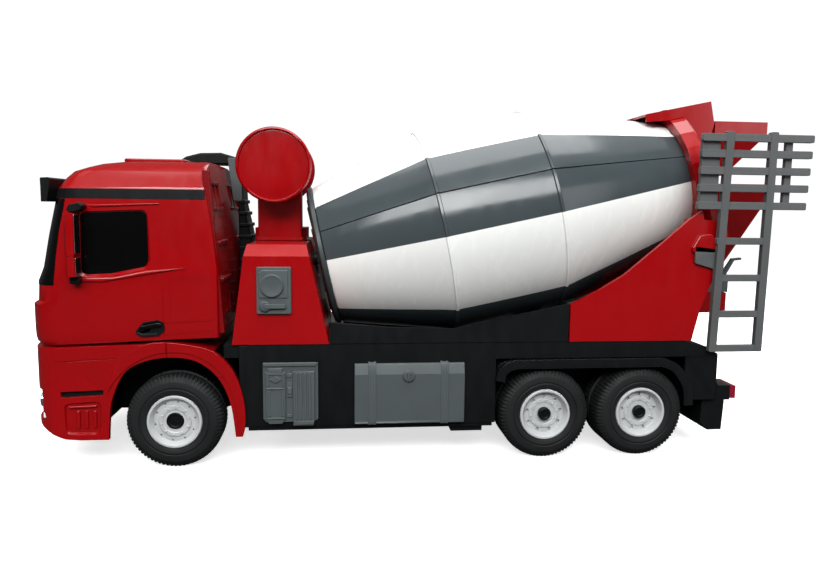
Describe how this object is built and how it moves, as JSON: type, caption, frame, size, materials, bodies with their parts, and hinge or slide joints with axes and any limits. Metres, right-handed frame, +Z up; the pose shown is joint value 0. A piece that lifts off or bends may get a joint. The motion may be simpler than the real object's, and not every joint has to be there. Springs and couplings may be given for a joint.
{
  "type": "toy cement mixer truck",
  "caption": "Toy cement mixer truck with a turning striped drum, steered front wheels, hoppers, a swivelling chute and a ladder.",
  "frame": {"origin": "on the ground under the middle of the truck's bounding box", "axes": "+X to the rear of the truck, +Y to its right side, +Z up"},
  "size_m": [0.4512, 0.146, 0.2152],
  "materials": {
    "red_plastic": "moulded, glossy",
    "grey_plastic": "moulded, satin",
    "black_plastic": "moulded, satin with a fine grain",
    "window_plastic": "polished, opaque black",
    "clear_plastic": "polished, clear over silver",
    "tail_lens": "polished, dark red",
    "drum_plastic": "moulded, glossy, with painted grey stripes",
    "inner_plastic": "moulded, plain",
    "circuit_laminate": "laminate",
    "steel": "turned",
    "rim_plastic": "moulded, glossy off-white",
    "tyre_rubber": "moulded rubber, matt"
  },
  "bodies": {
    "root": {"cab_shell": "red_plastic", "mirror_left": "red_plastic", "mirror_right": "red_plastic", "front_bumper": "red_plastic", "drum_tower": "red_plastic", "water_tank": "red_plastic", "rear_support": "red_plastic", "hopper_hood": "red_plastic", "feed_hopper": "red_plastic", "discharge_funnel": "red_plastic", "control_panel_left": "grey_plastic", "control_panel_right": "grey_plastic", "fuel_tank_left": "grey_plastic", "fuel_tank_right": "grey_plastic", "toolbox_left": "grey_plastic", "toolbox_right": "grey_plastic", "ladder": "grey_plastic", "chute_post": "grey_plastic", "chassis_frame": "black_plastic", "chassis_floor": "black_plastic", "battery_cover": "black_plastic", "axle_beam": "black_plastic", "sun_visor": "black_plastic", "air_intake": "black_plastic", "rear_fender_left": "black_plastic", "rear_fender_right": "black_plastic", "drum_cradle": "black_plastic", "rear_bumper": "black_plastic", "window_insert": "window_plastic", "headlight_left": "clear_plastic", "headlight_right": "clear_plastic", "tail_light_left": "tail_lens", "tail_light_right": "tail_lens", "drive_gearbox": "inner_plastic", "drum_motor": "inner_plastic", "battery_pack": "inner_plastic", "circuit_board": "circuit_laminate"},
    "drum": {"drum_shell_upper": "drum_plastic", "drum_shell_lower": "drum_plastic", "drum_collar": "grey_plastic"},
    "knuckle_left": {"steering_knuckle_left": "grey_plastic"},
    "knuckle_right": {"steering_knuckle_right": "grey_plastic"},
    "tie_rod": {"tie_rod": "black_plastic"},
    "wheel_front_left": {"rim_front_left": "rim_plastic", "tyre_front_left": "tyre_rubber"},
    "wheel_front_right": {"rim_front_right": "rim_plastic", "tyre_front_right": "tyre_rubber"},
    "rear_axle_1": {"rear_axle_1": "steel", "rim_rear_1_left": "rim_plastic", "tyre_rear_1_left": "tyre_rubber", "rim_rear_1_right": "rim_plastic", "tyre_rear_1_right": "tyre_rubber"},
    "rear_axle_2": {"rear_axle_2": "steel", "rim_rear_2_left": "rim_plastic", "tyre_rear_2_left": "tyre_rubber", "rim_rear_2_right": "rim_plastic", "tyre_rear_2_right": "tyre_rubber"},
    "chute": {"discharge_chute": "red_plastic"},
    "switch": {"power_switch": "grey_plastic"}
  },
  "joints": [
    {"name": "drum_spin", "type": "hinge", "parent": "root", "child": "drum", "pos_m": [-0.06235, 0, 0.1157], "axis": [0.9766, 0, 0.2152], "continuous": true},
    {"name": "steer_left", "type": "hinge", "parent": "root", "child": "knuckle_left", "pos_m": [-0.14615, -0.038, 0.0268], "axis": [0, 0, 1], "range_deg": [-22, 22]},
    {"name": "steer_right", "type": "hinge", "parent": "root", "child": "knuckle_right", "pos_m": [-0.14615, 0.038, 0.0268], "axis": [0, 0, 1], "range_deg": [-22, 22]},
    {"name": "tie_rod_slide", "type": "slide", "parent": "root", "child": "tie_rod", "axis": [0, 1, 0], "range_m": [-0.005, 0.005]},
    {"name": "front_left_spin", "type": "hinge", "parent": "knuckle_left", "child": "wheel_front_left", "pos_m": [-0.14615, -0.0543, 0.0268], "axis": [0, 1, 0], "continuous": true},
    {"name": "front_right_spin", "type": "hinge", "parent": "knuckle_right", "child": "wheel_front_right", "pos_m": [-0.14615, 0.0543, 0.0268], "axis": [0, 1, 0], "continuous": true},
    {"name": "rear_1_spin", "type": "hinge", "parent": "root", "child": "rear_axle_1", "pos_m": [0.06565, 0, 0.0268], "axis": [0, 1, 0], "continuous": true},
    {"name": "rear_2_spin", "type": "hinge", "parent": "root", "child": "rear_axle_2", "pos_m": [0.12395, 0, 0.0268], "axis": [0, 1, 0], "continuous": true},
    {"name": "chute_swivel", "type": "hinge", "parent": "root", "child": "chute", "pos_m": [0.19035, 0, 0.0926], "axis": [0, 0, 1], "range_deg": [-135, 0]},
    {"name": "switch_slide", "type": "slide", "parent": "root", "child": "switch", "axis": [1, 0, 0], "range_m": [0, 0.004]}
  ],
  "couplings": [
    {"joint": "steer_right", "follows": "steer_left", "ratio": 1},
    {"joint": "tie_rod_slide", "follows": "steer_left", "m_per_rad": 0.0117}
  ]
}
